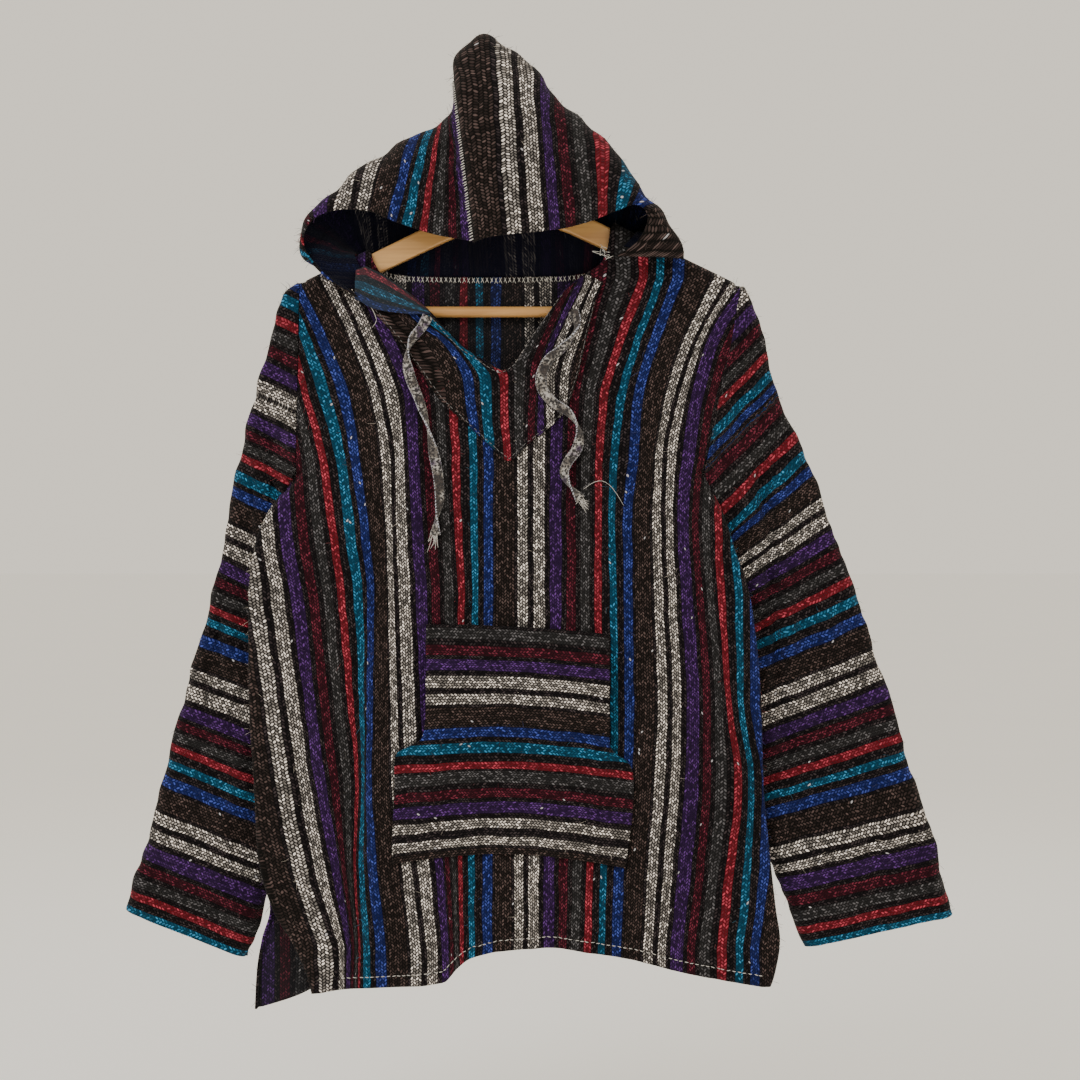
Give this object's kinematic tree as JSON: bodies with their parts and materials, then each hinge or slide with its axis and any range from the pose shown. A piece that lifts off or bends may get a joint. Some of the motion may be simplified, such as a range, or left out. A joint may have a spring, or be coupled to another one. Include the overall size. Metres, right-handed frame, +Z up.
{
  "type": "baja hoodie on clothes hanger",
  "caption": "Handwoven striped baja hoodie with a hood, laced V neck and pouch pocket, hanging on a wooden clothes hanger with a wire hook",
  "frame": {"origin": "the top of the inside of the hanger's hook, the point that bears on its nail", "axes": "+Z up, the garment's front towards -Y, +X to the right as seen from the front"},
  "size_m": [0.8237, 0.0981, 0.9668],
  "materials": {
    "striped_cloth": "coarse handwoven cotton, near-black with purple, maroon, red, teal, blue, brown, grey and white stripes",
    "facing_cloth": "the same striped cloth, stitched down round the neck slit",
    "pocket_cloth": "the same striped cloth, its stripes turned level",
    "tie_cord": "twisted narrow strip of the cloth with pale whip-stitched edges",
    "hanger_wood": "honey-coloured lacquered wood",
    "hook_steel": "plain bright steel wire"
  },
  "bodies": {
    "root": {"front": "striped_cloth", "back": "striped_cloth", "sleeve_left": "striped_cloth", "sleeve_right": "striped_cloth", "hood_left": "striped_cloth", "hood_right": "striped_cloth", "neck_facing": "facing_cloth", "pocket": "pocket_cloth", "tie_left": "tie_cord", "tie_right": "tie_cord", "hanger_arms": "hanger_wood", "hanger_bar": "hanger_wood", "hanger_hook": "hook_steel"}
  },
  "joints": []
}
